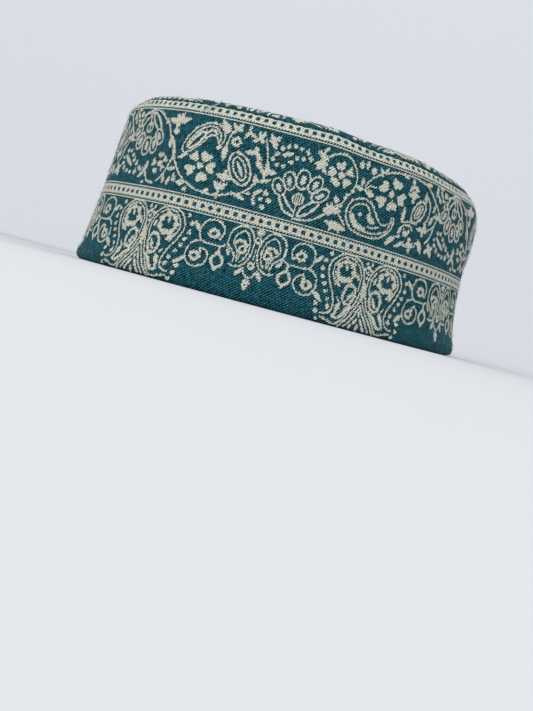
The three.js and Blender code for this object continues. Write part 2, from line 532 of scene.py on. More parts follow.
# Upper zone: one long repeat of a scrolling stem between palmettes
PALMETTE = [
    *loop_petal(73.6, 50.2, 8.2, 5.6, 128),
    *loop_petal(77.1, 53.7, 8.2, 5.8, 108),
    *loop_petal(82.5, 55.6, 8.8, 6.4, 90),
    *loop_petal(88.1, 54.8, 8.4, 6, 68),
    *loop_petal(91.2, 51.1, 8.6, 5.6, 42),
    Dot(82.6, 47.2, 2.5),
    Gap(81.2, 47.2, 0.6, 3, 0), Gap(82.1, 47.4, 0.6, 3.6, 0), Gap(83.1, 47.4, 0.6, 3.6, 0),
    Gap(84, 47.2, 0.6, 3, 0),
    Line(LINE, [(82.6, 44.8), (82.6, 38)]),
    Line(0.9, [(74.7, 46.4), (76.4, 43.2), (78.4, 41), (81, 40.1), (82.6, 40)]),
    Line(0.8, [(76.6, 47), (78.6, 44.6), (80.8, 42.8), (82.4, 41.6)]),
    Line(0.8, [(84.2, 41), (84.8, 43.4), (86.4, 45.6), (88.7, 47.6)]),
    Line(0.9, [(84, 40.4), (85.7, 40.7), (88, 42.2), (90.3, 45), (91.7, 47.6)]),
    Line(LINE, [(82.8, 39), (87.7, 39.4), (91, 40.9), (94, 43.2)]),
]
HANGING_EXTRAS = [
    Line(LINE, [(-0.1, 69.8), (-3, 69.9), (-6.2, 68.8)]),
    Dot(-6.6, 66.6, 0.8), Dot(-8.4, 64.4, 0.8), Dot(13.4, 66.4, 0.7),
]
STEMS = [
    Line(LINE, [(10.6, 42.4), (12.6, 39.9), (16.7, 39.6)]),
    Line(LINE, [(13, 68.2), (15.5, 65.7), (17.2, 63.6), (18.4, 61.5), (20.9, 59.4), (22.6, 57.2)]),
    Line(1.7, [(19.6, 60.4), (22.4, 57.4), (23.6, 54.4), (24.8, 51.6)]),
    Line(LINE, [(24.6, 52), (25.9, 50.2), (28, 47.8), (30.5, 45.3), (33.4, 43.2), (36.8, 41.5), (40.1, 40.4),
                (44.6, 40), (48, 40), (51, 40.6), (54.3, 41.9), (57, 42.9), (59.4, 43.8), (62.6, 44.2)]),
    Line(LINE, [(23.6, 54), (23.5, 50), (22.2, 45.7), (20.6, 42.4), (18.8, 40.6)]),
    Line(LINE, [(47.6, 67), (47.2, 64), (46.8, 61)]),
    Line(LINE, [(62.8, 67.2), (64.3, 64), (65.2, 61.4), (65.8, 58.4)]),
    Line(LINE, [(59.6, 44), (61.8, 46.4), (63.4, 48.8), (64.4, 50)]),
    Line(LINE, [(90.2, 67.3), (93.1, 69.4), (96.8, 70.4), (100.2, 69.5), (102.8, 67.2), (104.5, 64.6),
                (105.1, 61.4), (104.7, 58), (103.4, 55.4), (101.9, 52.4), (100.6, 49.8)]),
    Line(LINE, [(100.8, 46.2), (102.6, 44.2), (104.6, 42.2)]),
    Line(LINE, [(96, 45.6), (94.6, 43.6), (92.6, 42)]),
    Line(LINE, [(109.6, 60.6), (110.4, 62.4), (112.3, 65), (115.6, 67.4), (119.8, 69.4), (123.6, 70.4),
                (128.4, 70.9), (133.6, 71.1), (138.4, 70.5), (142, 69.6), (145.4, 67.6), (148.6, 65),
                (151.2, 62.8), (153.6, 60.6)]),
    Line(FINE, [(106.4, 59.6), (109.4, 59.2), (112, 61.4), (114.8, 61.4)]),
    Line(LINE, [(132, 51.2), (135.7, 52.2), (139.8, 52.1)]),
    Line(LINE, [(146.4, 50.8), (149, 52.3), (151.6, 55), (152.8, 58)]),
    Line(LINE, [(151.4, 54.6), (150.7, 50.9), (149.4, 47.8), (147.3, 45.6)]),
    Line(LINE, [(127.6, 43.4), (129.8, 44.4), (132.4, 44.6)]),
    Line(LINE, [(133.4, 42.2), (136, 41.8), (139.4, 41.8), (142, 43)]),
    Line(1.6, [(66.6, 46.6), (64.9, 45), (64.6, 43), (65.4, 40.8)]),
]
HOOK_PAISLEY = [
    Line(LINE, [(43.5, 60.6), (42.6, 62.8), (40.6, 64.4), (38.2, 63.6), (36.8, 61.6), (35, 59.1),
                (32.4, 56.4), (29.4, 55), (27.5, 56), (27.4, 58), (28.2, 61), (30.5, 65), (34.3, 68.2),
                (38.9, 69.5), (43.2, 67.8), (45.2, 64.5), (44.8, 60.8)]),
    Line(FINE, [(29, 57.4), (29.5, 59.8), (31.8, 63.8), (35, 66.8), (38.7, 68), (41.9, 66.5), (43.6, 63.9),
                (43.6, 61.8)]),
    Ring(33.2, 61.1, 10.6, 4.2, 54, 1.2),
    Line(1, [(36.6, 64.8), (38.4, 66.2), (40.4, 65.9), (41.5, 64.7)]),
    Dot(43.9, 60, 1.2),
]
LOW_HOOK_PAISLEY = [
    Line(LINE, [(126.9, 51.6), (127.4, 49.2), (126.8, 46.4), (124.8, 43.6), (122.2, 41.5), (119, 40.5),
                (114.4, 40.2), (110.2, 40.8), (106.8, 42.4), (104.7, 45.2), (104, 48.6), (104.8, 52.2),
                (107.2, 54.4), (110.4, 55.3), (113.6, 54.9), (115.8, 53.1), (117.8, 50.6), (119.9, 48.3),
                (122.6, 47), (124.8, 48.4)]),
    Line(FINE, [(125.7, 51.4), (126, 48.6), (124.7, 45.4), (121.9, 43.3), (118.4, 42.3), (114.6, 42.1),
                (110.6, 42.4), (107.6, 44.2), (106, 47), (106.1, 50), (108, 52.3), (111.4, 53.2),
                (113.7, 52.2), (115.3, 49.8)]),
    Line(2.1, [(106.9, 47.4), (108.2, 45.3), (110.7, 43.8), (113.4, 43.2)]),
    Petal(116, 47.6, 4.4, 2.8, -25),
    Petal(114.4, 49.2, 2.6, 1.6, 60),
    Line(0.6, [(115.4, 44.2), (118, 44.6), (120.6, 45.6)]),
    Dot(110.4, 48.6, 0.8),
]
BLOOMS = [
    *flower(17.6, 48.4, 1.5, [(100, 3.7, 2.2, 3.4), (38, 3.5, 2.6, 3), (-38, 3, 2.6, 2.6),
                              (-116, 3.9, 2.2, 3.6), (180, 4, 2.8, 3)]),
    *flower(38.4, 50.7, 1.5, [(138, 4.9, 5.4, 3.6), (70, 4.4, 4.6, 5), (0, 5, 4.8, 4.8),
                              (-66, 5.2, 4.6, 5.2), (-147, 4.6, 5.2, 4.2)]),
    *flower(97.7, 61.9, 1.5, [(108, 4, 3.6, 4.2), (175, 4.6, 4, 4.2), (-122, 4, 3.6, 4.6),
                              (-40, 3.8, 4.2, 3.8), (32, 3.9, 4.6, 3.4)]),
    *flower(122.8, 60.9, 1.5, [(152, 4.8, 4.8, 5), (71, 5.1, 4.8, 5), (-7, 5.8, 4.6, 5.4),
                               (-72, 5.2, 4.6, 5), (-137, 5.9, 5.6, 4.6)]),
    *seed_oval(55.4, 53.2, -56, 15.2),
    *seed_oval(139.6, 57.6, 62, 11.6),
    Line(LINE, [(144.4, 53.4), (146.2, 56.4), (146.6, 60), (145, 63.6), (142, 66.2)]),
    Leaf(142.4, 64.2, 4.4, 1.7, 128),
    Ring(50.6, 63.9, 4.8, 4.6, 0, 1.6),
    Line(LINE, [(138.4, 49.2), (136.4, 50.5), (133.8, 50.4), (131.8, 48.8), (131.2, 46.8), (132.4, 44.8)]),
    Dot(135, 46.9, 1.5), Dot(136.4, 48, 0.7), Dot(133.8, 48, 0.6),
    Leaf(131.6, 47.6, 4, 2, 70),
]
LEAVES = [
    *spray(8.6, 44.4, [(88, 5, 2.6), (222, 6, 2), (-50, 4, 1.8), (160, 3, 1.6)]),
    Dot(9.6, 39.2, 0.8),
    *spray(20.8, 67, [(166, 7, 2.8), (120, 5, 2.6), (72, 5.4, 2.6), (22, 7.4, 2.8), (270, 3, 2.4)]),
    Petal(21.3, 63.2, 3.6, 2.8, 0),
    Leaf(20, 57.6, 4.4, 1.7, -66),
    *spray(25, 46, [(150, 3.2, 1.4), (40, 3.4, 1.4), (90, 2.4, 1.4)]),
    Leaf(22.6, 42, 3.8, 1.9, 100), Leaf(25.6, 41.4, 3.8, 2, 80), Leaf(28.1, 43.3, 4.4, 2.1, -64),
    Leaf(32.3, 42, 4.6, 2.8, 12), Leaf(35, 39.6, 2.6, 1.9, 90),
    Leaf(29, 53.3, 5.4, 2.2, 28),
    Leaf(47, 58.4, 7, 2.7, 93),
    *spray(46, 66.6, [(128, 7, 3.2), (100, 4.4, 2.4)]),
    *spray(49.6, 69, [(140, 4, 1.9), (60, 3.6, 1.8), (230, 3.6, 1.6), (0, 3, 1.6)]),
    *spray(55, 68.8, [(90, 3.4, 1.7), (240, 3.8, 1.8), (-20, 4.4, 1.8)]),
    *spray(60, 67.6, [(60, 3.8, 2), (220, 4, 2), (-40, 3, 1.6), (110, 3, 1.7)]),
    *spray(66.4, 68, [(140, 3.6, 2.1), (45, 3.6, 2.1), (-70, 4, 2.1), (200, 2.8, 2)]),
    *spray(59.8, 61.4, [(195, 4.6, 2.3), (80, 3.2, 2.4), (-35, 4.8, 2.2)]),
    Leaf(63, 56.8, 5.8, 2.6, -50),
    *spray(66.8, 54.8, [(8, 4.6, 2.6), (100, 5, 2.3), (190, 3.6, 2), (255, 3.4, 2.2)]),
    *spray(50.2, 48.6, [(0, 4.2, 2.8), (180, 4.2, 2.6), (95, 3.4, 2.2), (270, 2.6, 2.2)]),
    *spray(49.4, 42.6, [(128, 5, 2.4), (52, 5, 2.4), (90, 3.8, 2.2), (270, 4.4, 2)]),
    Leaf(44.4, 41.2, 3, 1.8, 50),
    Leaf(58.2, 42.2, 7, 2.2, -14),
    Leaf(63.1, 50.6, 4.8, 2.2, 110), Leaf(66.8, 51, 5.6, 2.1, 18),
    *spray(87.6, 68.2, [(175, 3, 1.9), (60, 4, 1.7), (-40, 4, 1.9), (270, 3, 1.9)]),
    *spray(88.1, 63.6, [(175, 3.6, 2.3), (95, 3.6, 2.3), (30, 3.4, 2), (230, 3.8, 1.9), (-48, 4.6, 2)]),
    Leaf(104.4, 57.2, 2.6, 1.8, 60), Leaf(102.2, 54, 4.4, 1.7, 78), Leaf(98.4, 51.6, 3.8, 2.4, 120),
    *spray(97.4, 46.4, [(100, 4.2, 2.4), (190, 4, 2.6), (15, 5, 2.8), (250, 3, 1.9), (140, 3.6, 2)]),
    Petal(100.2, 49.4, 3.2, 1.8, 20),
    Leaf(100.8, 41, 10.4, 3.4, -8), Leaf(99, 39.6, 2.8, 1.5, 70), Leaf(102.6, 39.4, 2.6, 1.5, 110),
    Petal(105.6, 68.6, 2.6, 3.2, 0), Petal(108.4, 69.5, 2, 3.6, 0), Petal(111.8, 68, 2.6, 3.2, 0),
    *spray(116.8, 68, [(140, 3.2, 1.7), (60, 3.6, 1.7), (210, 2.4, 2)]),
    Leaf(108, 62, 4.2, 1.9, 90), Petal(106.9, 59.2, 3.4, 2.1, -20), Leaf(112.3, 58.3, 5.2, 2.9, -20),
    Leaf(128.6, 70.1, 2.8, 1.6, 0), Leaf(142.8, 70.6, 4, 2, 0),
    *spray(133.4, 67.8, [(110, 3.2, 2), (240, 3.6, 2), (-25, 4.6, 2)]),
    *spray(134.6, 63.6, [(180, 3.8, 2.4), (80, 2.8, 2.6), (10, 3.6, 2.2), (275, 4, 2.2)]),
    Leaf(131.5, 54.4, 7.4, 2.2, 91),
    Leaf(127.8, 42, 7, 2.6, 48), Leaf(133, 41.6, 5.6, 2.1, 36),
    *spray(138.5, 42.8, [(105, 4, 1.9), (-80, 4, 1.7), (20, 3, 1.5), (180, 2.4, 1.5)]),
    Leaf(144.6, 43.4, 7, 2.6, -60), Leaf(143, 44.6, 4, 1.9, 10),
    *spray(151, 43.6, [(215, 4, 2.2), (-48, 4.6, 2.4), (30, 3.6, 2.2), (110, 3, 2.2)]),
    *spray(144.6, 50.7, [(180, 4.6, 2.4), (75, 3.6, 2.2), (0, 3.4, 2.3), (270, 3.4, 2)]),
    Leaf(148.6, 56.2, 5, 2, 62), Leaf(149.6, 61.8, 4.8, 1.9, 74),
    *spray(153, 58.6, [(180, 3.6, 2), (60, 3.2, 2.1), (-20, 5, 2.1)]),
    Leaf(149.4, 69.3, 5, 2.1, 78), Leaf(153.1, 71.7, 3.6, 1.6, 0), Leaf(153.2, 69, 3.8, 1.7, -50),
    Petal(156.9, 69.4, 3.2, 2.6, -20), Leaf(151.9, 66.6, 5.4, 1.5, -44), Leaf(155.6, 66.6, 3, 1.5, 0),
]
DOTTED_PAISLEYS = [
    Leaf(158.6, 48, 9, 1.9, -33),
    Leaf(73.1, 64, 5.2, 2.2, 25),
    *dots(0.8, (67.7, 60.7)),
    *dots(0.9, (153.8, 49), (169.6, 44.6), (70.4, 65.7), (72.7, 67.2), (78.3, 67.8), (80, 64), (72.7, 59),
          (70, 59)),
    *dots(1, (155.7, 52.2), (158.4, 52.4), (163, 48.5), (168.2, 45.6), (154.8, 46.4), (157, 44.4),
          (159.9, 43.2), (162.8, 42.9), (75.6, 68), (81.2, 66.9), (83.1, 64.6), (77.3, 63.6), (75.2, 61.1),
          (68.7, 63.2), (67.7, 43.2)),
    *dots(1.1, (161, 50.6), (165.6, 47), (71, 43.4)),
    *dots(1.2, (166.2, 43.2), (69.1, 46.1), (69.3, 40.3)),
]

LOWER_REPEAT = 98.4
UPPER_REPEAT = 165
LOWER_BOTTOM = 0.6
LOWER_TOP = 31.2
UPPER_BOTTOM = 38.2
UPPER_TOP = 72.2
CHART_TOP = 78


def squared(repeat, *tables):
    chart = Chart(round(repeat / THREAD), round(CHART_TOP / THREAD))
    for rows in tables:
        chart.draw(rows)
    return chart.cells


lower_half = BIG_PAISLEY + BIG_PAISLEY_DOTS + SCROLLS + SMALL_PAISLEY + SMALL_PAIR_MIDDLE + BIG_PAIR_MIDDLE
lower_repeat = squared(LOWER_REPEAT, lower_half, mirrored(lower_half, PAIR_AXIS))
upper_repeat = squared(UPPER_REPEAT, PALMETTE, hung(PALMETTE), HANGING_EXTRAS, STEMS, HOOK_PAISLEY,
                       LOW_HOOK_PAISLEY, BLOOMS, LEAVES, DOTTED_PAISLEYS)

# Borders: rows of thread from a border's middle, with squares in millimetres
LOWER_BORDER_ROW = 74.5
UPPER_BORDER_ROW = 163.5
BAND_HALF = 4
LINK_ROW = 4.5
LINE_ROW = 6.5
LINK_EVERY = 3
SQUARE_PITCH = 3.606
FIRST_SQUARE = 49
SQUARE_START = FIRST_SQUARE - SQUARE_PITCH / 2
SQUARE_HALF = 0.95
SQUARE_CORNER = 1.5


def border(s, z, middle):
    """Cream band with a row of dark squares, and on each side a thin line on short links."""
    row = np.floor(z / THREAD) - middle
    along = np.abs((s - SQUARE_START) % SQUARE_PITCH - SQUARE_PITCH / 2)
    up = np.abs(row) * THREAD
    square = (along < SQUARE_HALF) & (up < SQUARE_HALF) & (along + up < SQUARE_CORNER)
    links = (np.abs(row) == LINK_ROW) & (np.floor(s / THREAD) % LINK_EVERY == 1)
    lines = np.abs(row) == LINE_ROW
    return (np.abs(row) < BAND_HALF) & ~square | links | lines


def figures_at(s, z):
    """True where the cream yarn shows at a place on the cloth: both zones of figures, then both borders."""
    column = np.floor(s / THREAD).astype(int)
    row = np.clip(np.floor(z / THREAD).astype(int), 0, len(lower_repeat) - 1)
    lower = lower_repeat[row, column % lower_repeat.shape[1]] & (z < LOWER_TOP) & (z > LOWER_BOTTOM)
    upper = upper_repeat[row, column % upper_repeat.shape[1]] & (z > UPPER_BOTTOM) & (z < UPPER_TOP)
    return lower, upper, border(s, z, LOWER_BORDER_ROW), border(s, z, UPPER_BORDER_ROW) & (z < CHART_TOP)


# The twill binds the yarn once in RIB_EVERY threads. A block is three squares by three
RIB_EVERY = 3
WHOLE_BLOCK = 9


def near_by(cells):
    """How many squares of the three by three round each square are True."""
    wide = np.pad(cells, 1).astype(int)
    return sum(np.roll(wide, (up, along), (0, 1)) for up in (-1, 0, 1) for along in (-1, 0, 1))[1:-1, 1:-1]


def bound_by_twill(cells):
    """Broad figures get ragged edges where the twill binds them, and thin lines a row of small barbs."""
    rows, columns = np.indices(cells.shape)
    rib = (columns - rows) % RIB_EVERY == 0
    core = near_by(cells) == WHOLE_BLOCK
    body = near_by(core) > 0
    edge = cells & body & (near_by(cells) < WHOLE_BLOCK - 1)
    line = cells & ~body
    over = np.pad(line, ((1, 0), (0, 0)))[:-1]
    above = np.pad(cells, ((0, 1), (0, 0)))[1:]
    barb = over & ~cells & ~above & rib
    return cells & ~(edge & rib) | barb


# Making pieces. Flat wall cloth is turned as a ring, whose radius is ROW_START less the row
UV_SPAN = 100
ROW_START = 200
MERGE = 1e-4


def as_mesh(name, bm, material, smooth=True):
    mesh = bpy.data.meshes.new(name)
    bm.to_mesh(mesh)
    bm.free()
    mesh.polygons.foreach_set("use_smooth", np.full(len(mesh.polygons), smooth))
    mesh.materials.append(material)
    return mesh


def shown(name, data):
    """Adds an object to the scene."""
    made = bpy.data.objects.new(name, data)
    bpy.context.scene.collection.objects.link(made)
    return made


def listed(parts, key, width=1, kind=float):
    """One value, or a row of them, for each vertex, loop, face or triangle of a mesh."""
    values = np.empty(len(parts) * width, kind)
    parts.foreach_get(key, values)
    return values.reshape(-1, width) if width > 1 else values


def signed_volume(mesh):
    mesh.calc_loop_triangles()
    triangles = listed(mesh.loop_triangles, "vertices", 3, int)
    a, b, c = np.moveaxis(listed(mesh.vertices, "co", 3)[triangles], 1, 0)
    return np.einsum("ij,ij->i", a, np.cross(b, c)).sum()


def finish_piece(name, bm, place, cloth_length, material, nodes=(), smooth=True):
    """Turns flat cloth into a piece of the cap. Places and lengths of thread come from the flat vertices."""
    mesh = as_mesh(name, bm, material, smooth)
    flat = listed(mesh.vertices, "co", 3)
    middle = cloth_length(listed(mesh.polygons, "center", 3))[:, 0]
    middle = np.repeat(middle, listed(mesh.polygons, "loop_total", kind=int))
    thread = cloth_length(flat)[listed(mesh.loops, "vertex_index", kind=int)]
    thread[:, 0] -= np.round((thread[:, 0] - middle) / ROUND) * ROUND
    mesh.uv_layers.new(name="cloth").data.foreach_set("uv", (thread / UV_SPAN).ravel())
    mesh.vertices.foreach_set("co", (place(flat) * MM).ravel())
    mesh.update()
    if signed_volume(mesh) < 0:
        mesh.flip_normals()
    piece = shown(name, mesh)
    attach(piece, "root")
    if nodes:
        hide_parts(*nodes)


def turned_section(section, steps, closed=True):
    """A flat ring or disc, turned from a section of reach and depth."""
    bm = bmesh.new()
    corners = [bm.verts.new((reach, 0, -depth)) for reach, depth in section]
    ends = corners[1:] + corners[:1] if closed else corners[1:]
    edges = [bm.edges.new(pair) for pair in zip(corners, ends)]
    bmesh.ops.spin(bm, geom=corners + edges, axis=(0, 0, 1), cent=(0, 0, 0), angle=2 * np.pi,
                   steps=steps, use_merge=True)
    bmesh.ops.remove_doubles(bm, verts=bm.verts, dist=MERGE)
    bmesh.ops.recalc_face_normals(bm, faces=bm.faces)
    return bm


def turn_of(flat):
    return np.arctan2(flat[:, 0], flat[:, 1])


def ring_thread(flat):
    return np.stack([length_at(turn_of(flat)), ROW_START - np.hypot(flat[:, 0], flat[:, 1])], -1)


def ring_place(flat):
    return wall_place(*ring_thread(flat).T, -flat[:, 2])


def panel_place(flat):
    """Crown and lining cloth was turned with its reach as the radius."""
    return reach_place(turn_of(flat), np.hypot(flat[:, 0], flat[:, 1]), -flat[:, 2])


def panel_thread(flat):
    """Threads of a panel run straight across it."""
    return flat[:, :2] * [1, -1]


def straight_place(flat):
    return wall_place(flat[:, 0], flat[:, 1], -flat[:, 2])


def straight_thread(flat):
    return flat[:, :2]


def crown_flat_place(flat):
    return crown_place(flat[:, 0], flat[:, 1], -flat[:, 2])[0]


def arc(row, depth, half_row, half_depth, start, end, count):
    """Points round part of a folded edge: turns are degrees from straight into the cloth."""
    turns = np.radians(np.linspace(start, end, count))
    return [(row + half_row * np.sin(t), depth + half_depth * np.cos(t)) for t in turns]


def layer(start, end, count, depth):
    """Points along one face of the cloth."""
    return [(at, depth) for at in np.linspace(start, end, count)]


def as_rings(section):
    return [(ROW_START - row, depth) for row, depth in section]


# How finely each piece of cloth is divided
WALL_STEPS = 440
WALL_ROWS = 46
INNER_ROWS = 14
HEM_STEPS = 360
HEM_ROWS = 6
HEM_EDGE_POINTS = 7
FOLD_POINTS = 8
GAP_POINTS = 4
GROOVE_ROWS = 5
CROWN_STEPS = 400
CROWN_RINGS = 42
CROWN_INNER_RINGS = 10
LINING_STEPS = 300
LINING_RINGS = 42
LINING_OUTER_RINGS = 16

# Where rows start and stop: by the fold of the rim, in the groove of the crown seam, where they lie closer,
# and at the edges of the panels
FOLD = 2.3
SEAM_CLEAR = 0.25
GROOVE_START = 2.6
GROOVE_TURN = 1.9
HEM_CLEAR = 0.05
HEM_RISE = 3.4
HEM_EDGE = 0.4
CROWN_EDGE = SEAM_REACH - SEAM_CLEAR
GROOVE_REACH = 3.4
CROWN_FLAT = CROWN_EDGE - GROOVE_REACH
CROWN_GROOVE = (2.8, 2.1, 1.5, 0.9, 0.4, 0)
LINING_EDGE = 160.6

# The wall: down its outside, round the outer half of the rolled rim, and back up its inside
wall_section = (
    layer(SEAM_ROW - GROOVE_START, FOLD, WALL_ROWS, 0)
    + arc(FOLD, LINING_DEPTH, FOLD, LINING_DEPTH, 180, 270, FOLD_POINTS)[1:]
    + arc(FOLD, LINING_DEPTH, GAP, GAP, 270, 180, GAP_POINTS)
    + layer(HEM_FOOT, SEAM_ROW - SEAM_CLEAR, INNER_ROWS, CLOTH)
    + layer(SEAM_ROW - SEAM_CLEAR, SEAM_ROW - GROOVE_TURN, GROOVE_ROWS, 0)
)

# The hem: round the inner half of the rolled rim, and up to its edge inside the cap
hem_start = LINING_DEPTH + HEM_CLEAR
hem_section = (
    arc(FOLD, hem_start, FOLD, HEM_INNER - hem_start, 270, 360, FOLD_POINTS)
    + layer(HEM_RISE, HEM_HEIGHT - HEM_EDGE, HEM_ROWS, HEM_INNER)
    + arc(HEM_HEIGHT - HEM_EDGE, HEM_DEPTH + HEM_CLOTH / 2, HEM_EDGE, HEM_CLOTH / 2, 0, 180,
          HEM_EDGE_POINTS)[1:]
    + [(HEM_FOOT, HEM_DEPTH), (HEM_FOOT, hem_start)]
)

# Crown and lining: from the middle out along one face, and back along the other
crown_section = (
    layer(0, CROWN_FLAT, CROWN_RINGS, 0)
    + [(CROWN_EDGE - back, 0) for back in CROWN_GROOVE]
    + layer(CROWN_EDGE, 0, CROWN_INNER_RINGS, CLOTH)
)
lining_section = (
    layer(0, LINING_EDGE, LINING_RINGS, LINING_DEPTH + LINING)
    + layer(LINING_EDGE, 0, LINING_OUTER_RINGS, LINING_DEPTH)
)


def part_corners(bm):
    """Threads that touch at a corner only are parted there, so that each is a closed form of its own."""
    for corner in list(bm.verts):
        if len(corner.link_faces) == 2 and len(corner.link_edges) == 4:
            bmesh.utils.vert_separate(corner, corner.link_edges)


def raised_figures(name, cells, corner, pitch, place):
    """Threads of cream yarn as one low relief: the squares of the chart that are True."""
    rows, columns = cells.shape
    bm = bmesh.new()
    bmesh.ops.create_grid(bm, x_segments=columns, y_segments=rows, size=0.5)
    bare = [face for face, shows in zip(bm.faces, cells.ravel()) if not shows]
    bmesh.ops.delete(bm, geom=bare, context="FACES")
    part_corners(bm)
    bmesh.ops.translate(bm, verts=bm.verts, vec=(0.5, 0.5, 0))
    bmesh.ops.scale(bm, verts=bm.verts, vec=(columns * pitch[0], rows * pitch[1], 1))
    bmesh.ops.translate(bm, verts=bm.verts, vec=(*corner, -SUNK))
    raised = bmesh.ops.extrude_face_region(bm, geom=bm.faces[:], use_keep_orig=True)["geom"]
    tops = [part for part in raised if isinstance(part, bmesh.types.BMVert)]
    bmesh.ops.translate(bm, verts=tops, vec=(0, 0, SUNK + RELIEF))
    bmesh.ops.recalc_face_normals(bm, faces=bm.faces)
    finish_piece(name, bm, place, straight_thread, cream_yarn, smooth=False)


def strand(sides, tip, parts):
    """A thin cone up Z, from its root at -0.5 to its tip at 0.5."""
    bm = bmesh.new()
    bmesh.ops.create_cone(bm, cap_ends=True, segments=sides, radius1=1, radius2=tip, depth=1)
    upright = [edge for edge in bm.edges if edge.verts[0].co.z * edge.verts[1].co.z < 0]
    bmesh.ops.subdivide_edges(bm, edges=upright, cuts=parts - 1)
    return bm


def unit(rows):
    return rows / np.linalg.norm(rows, axis=1)[:, None]


# Materials. A noise has a scale in turns to the millimetre, detail and roughness. Patches and flecks have a
# size in millimetres in place of a scale
FLOAT = "NodeSocketFloat"
VECTOR = "NodeSocketVector"
WAVER_NOISE = (0.35, 2.0, 0.5)
STREAK_NOISE = (1.0, 2.0, 0.6)
PATCH_DETAIL = (3.0, 0.6)
FLECK_DETAIL = (2.0, 0.6)
FIBRE_NOISE = (4.5, 3.0, 0.7)
STREAK_SHORTENING = 0.4
STRAND_LEAN = 0.4

# The darkest teal is painted shade between the ribs as well as dark dye; the lightest is a painted highlight
# on the rib crests
TEAL_SHADE_AND_DARK_DYE = (0.0008, 0.006, 0.01, 1)
TEAL_GREEN = (0.004, 0.096, 0.1, 1)
TEAL_BLUE = (0.008, 0.082, 0.145, 1)
TEAL_CREST_HIGHLIGHT = (0.04, 0.21, 0.235, 1)
TEAL_SHEEN = (0.6, 0.95, 1, 1)
# The darkest cream is the teal ground and painted shade between the strands; the lightest is a painted
# highlight on the crests
CREAM_SHADE = (0.1, 0.16, 0.16, 1)
CREAM_WARM = (0.74, 0.57, 0.38, 1)
CREAM_COOL = (0.62, 0.71, 0.62, 1)
CREAM_CREST_HIGHLIGHT = (0.8, 0.81, 0.7, 1)
CREAM_SHEEN = (0.95, 1, 0.98, 1)
FIBRE_DARK = (0.04, 0.16, 0.19, 1)
FIBRE_PALE = (0.3, 0.5, 0.54, 1)
FIBRE_SHEEN = (0.8, 1, 1, 1)
LINING_DARK = (0.022, 0.016, 0.014, 1)
LINING_LIGHT = (0.08, 0.058, 0.05, 1)
LINING_SHEEN = (0.8, 0.75, 0.7, 1)

WOOL_SPECULAR = 0.06
WOOL_SHEEN_ROUGHNESS = 0.3
RIB_PITCH = 1.45


def group(name, inputs, outputs):
    """An empty shader node group with named sockets."""
    tree = bpy.data.node_groups.new(name, "ShaderNodeTree")
    for socket, kind in inputs.items():
        tree.interface.new_socket(socket, in_out="INPUT", socket_type=kind)
    for socket in outputs:
        tree.interface.new_socket(socket, in_out="OUTPUT", socket_type=FLOAT)
    return tree, tree.nodes.new("NodeGroupInput").outputs, tree.nodes.new("NodeGroupOutput").inputs


def node(tree, kind, *inputs, **settings):
    """Adds a node and gives its first output. Inputs are sockets or values, in the node's order."""
    made = tree.nodes.new("ShaderNode" + kind)
    for key, value in settings.items():
        setattr(made, key, value)
    for socket, value in zip([s for s in made.inputs if s.enabled], inputs):
        if isinstance(value, bpy.types.NodeSocket):
            tree.links.new(value, socket)
        else:
            socket.default_value = value
    return next(s for s in made.outputs if s.enabled)


def math(tree, operation, *inputs):
    return node(tree, "Math", *inputs, operation=operation)


def product(tree, first, *values):
    for value in values:
        first = math(tree, "MULTIPLY", first, value)
    return first


def weighted(tree, start, *parts):
    """A start, plus each value times its share."""
    for value, share in parts:
        start = math(tree, "MULTIPLY_ADD", value, share, start)
    return start


def wave(tree, value, pitch):
    """Rises and falls between 0 and 1 once in each pitch."""
    turn = math(tree, "DIVIDE", math(tree, "MULTIPLY", value, 2 * np.pi), pitch)
    return math(tree, "MULTIPLY_ADD", math(tree, "SINE", turn), 0.5, 0.5)


def mixed(tree, share, low, high):
    return node(tree, "Mix", share, low, high, data_type="RGBA")


def stretched(tree, value, low, high):
    """Noise stays near its middle: this spreads the part from low to high over 0 to 1."""
    return node(tree, "MapRange", value, low, high, 0.0, 1.0)


def split(tree, vector):
    """The first two parts of a place: along the cloth and up it."""
    parts = tree.nodes.new("ShaderNodeSeparateXYZ")
    tree.links.new(vector, parts.inputs[0])
    return parts.outputs[:2]


def weave_group():
    """Twill: ribs that climb to the right, cut across into strands, and streaks of dye along them."""
    inputs = {"Thread": VECTOR, "Rib pitch": FLOAT, "Strand pitch": FLOAT, "Waver": FLOAT}
    tree, given, result = group("twill_weave", inputs, ["Height", "Streak"])
    along, up = split(tree, given["Thread"])
    loose = node(tree, "TexNoise", given["Thread"], *WAVER_NOISE)
    waver = math(tree, "MULTIPLY", math(tree, "SUBTRACT", loose, 0.5), given["Waver"])
    climb = math(tree, "ADD", math(tree, "SUBTRACT", along, up), waver)
    fall = math(tree, "MULTIPLY_ADD", climb, STRAND_LEAN, math(tree, "ADD", along, up))
    strands = math(tree, "MULTIPLY_ADD", wave(tree, fall, given["Strand pitch"]), 0.5, 0.5)
    height = math(tree, "MULTIPLY", wave(tree, climb, given["Rib pitch"]), strands)
    streak_place = node(tree, "CombineXYZ", climb, math(tree, "MULTIPLY", fall, STREAK_SHORTENING), 0.0)
    streak = node(tree, "TexNoise", streak_place, *STREAK_NOISE)
    tree.links.new(height, result["Height"])
    tree.links.new(streak, result["Streak"])
    return tree


